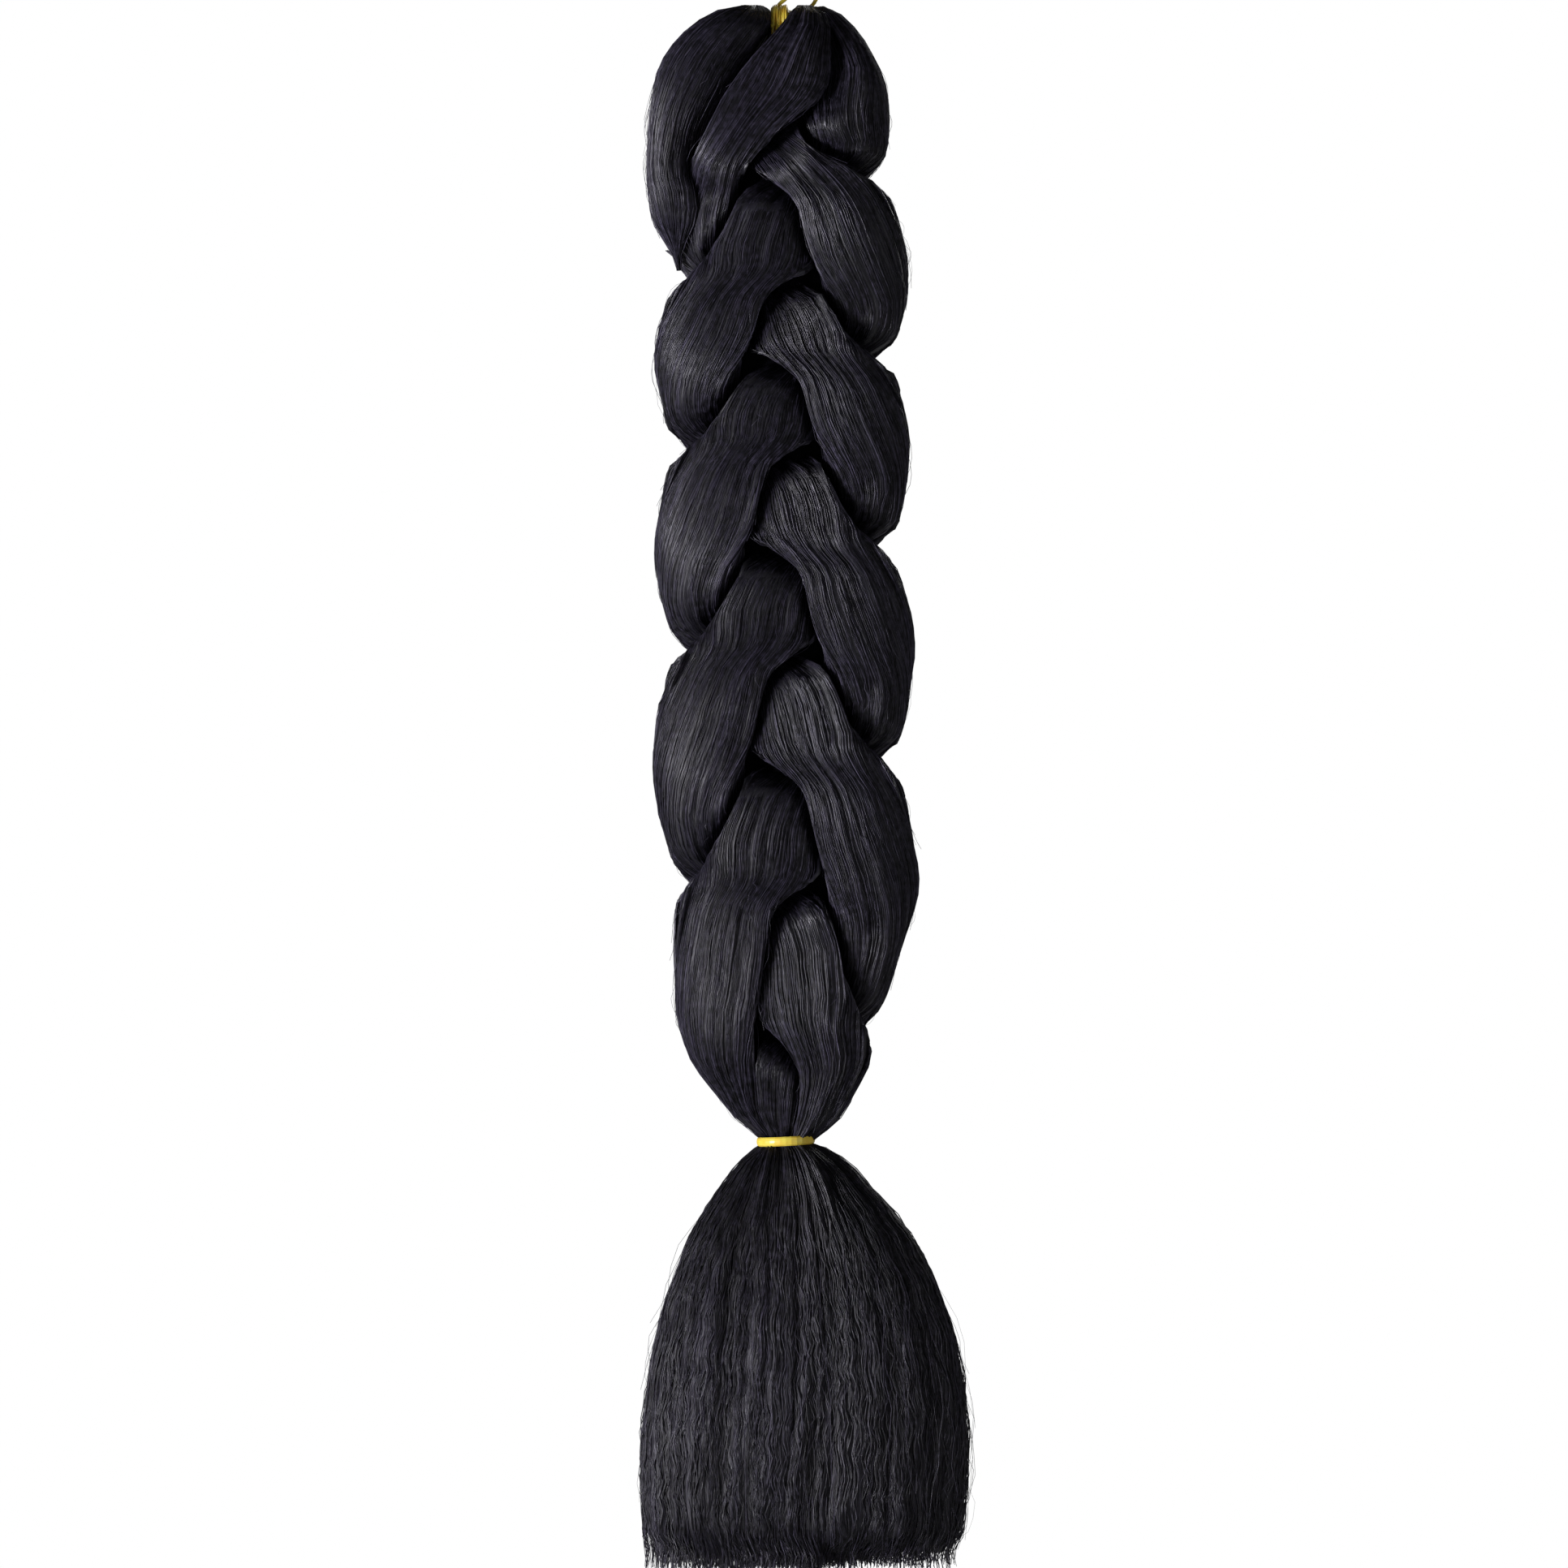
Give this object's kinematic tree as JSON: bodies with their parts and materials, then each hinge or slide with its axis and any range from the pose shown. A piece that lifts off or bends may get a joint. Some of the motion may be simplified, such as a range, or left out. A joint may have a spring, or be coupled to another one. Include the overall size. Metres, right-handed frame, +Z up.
{
  "type": "jumbo braiding hair",
  "caption": "Folded hank of synthetic braiding hair worked into a three-strand plait, held by a band at its waist over a loose tail, hung by a loop of elastic.",
  "frame": {"origin": "inner top of the elastic's hanging loop, the point that a hook carries", "axes": "+Z up, along the length of the hank; the front of the plait faces -Y; +X is to the right seen from the front"},
  "size_m": [0.1291, 0.0548, 0.6367],
  "materials": {
    "hair": "fine lengthwise fibres with a soft sheen",
    "elastic": "smooth, slightly glossy"
  },
  "bodies": {
    "root": {"left_strand": "hair", "middle_strand": "hair", "right_strand": "hair", "left_lock": "hair", "fold_neck": "hair", "tail": "hair", "hanging_elastic": "elastic", "tie_band": "elastic"}
  },
  "joints": []
}
